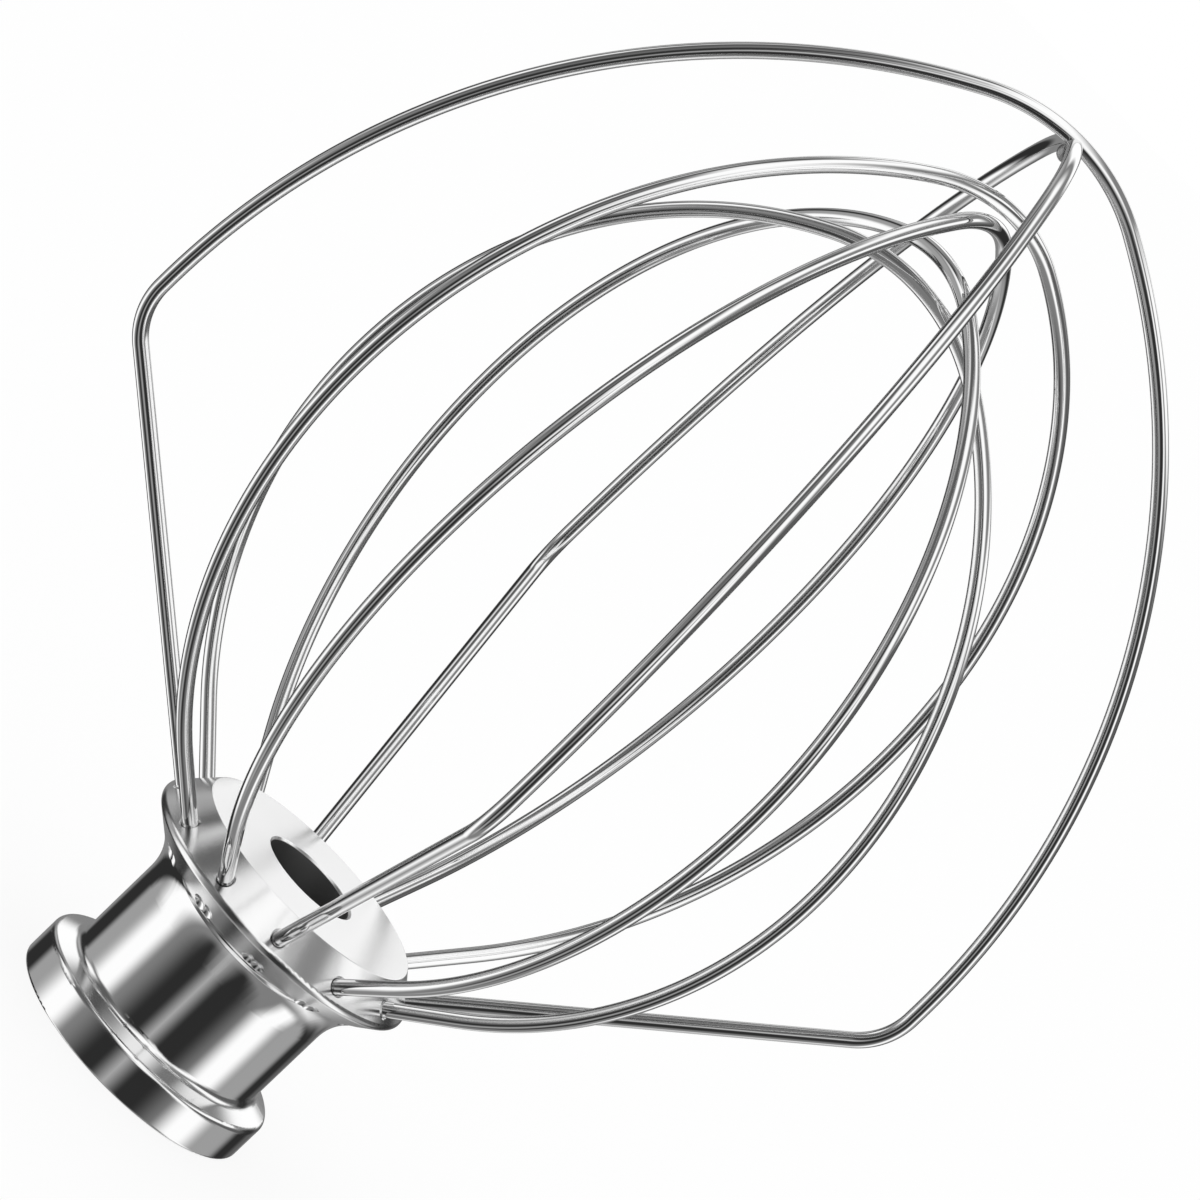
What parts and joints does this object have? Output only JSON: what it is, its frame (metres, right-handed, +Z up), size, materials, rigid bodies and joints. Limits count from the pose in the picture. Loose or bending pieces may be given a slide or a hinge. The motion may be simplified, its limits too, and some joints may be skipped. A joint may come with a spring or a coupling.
{
  "type": "stand mixer wire whisk",
  "caption": "Balloon wire whisk for a stand mixer: a turned steel hub with a drive socket, and crossed steel wire loops set round its rim.",
  "frame": {"origin": "centre of the hub's flat base, on the whisk's axis", "axes": "+Z up the axis from the hub's base to the tip of the wires, +X in the plane of the upper outer wire, +Y in the plane of the lower outer wire"},
  "size_m": [0.1274, 0.1288, 0.1589],
  "materials": {
    "hub_steel": "polished, with fine turning marks",
    "wire_steel": "drawn wire, polished"
  },
  "bodies": {
    "root": {"hub": "hub_steel", "outer_wire_lower": "wire_steel", "outer_wire_upper": "wire_steel", "inner_wire_first": "wire_steel", "inner_wire_second": "wire_steel", "inner_wire_third": "wire_steel", "inner_wire_fourth": "wire_steel"}
  },
  "joints": []
}
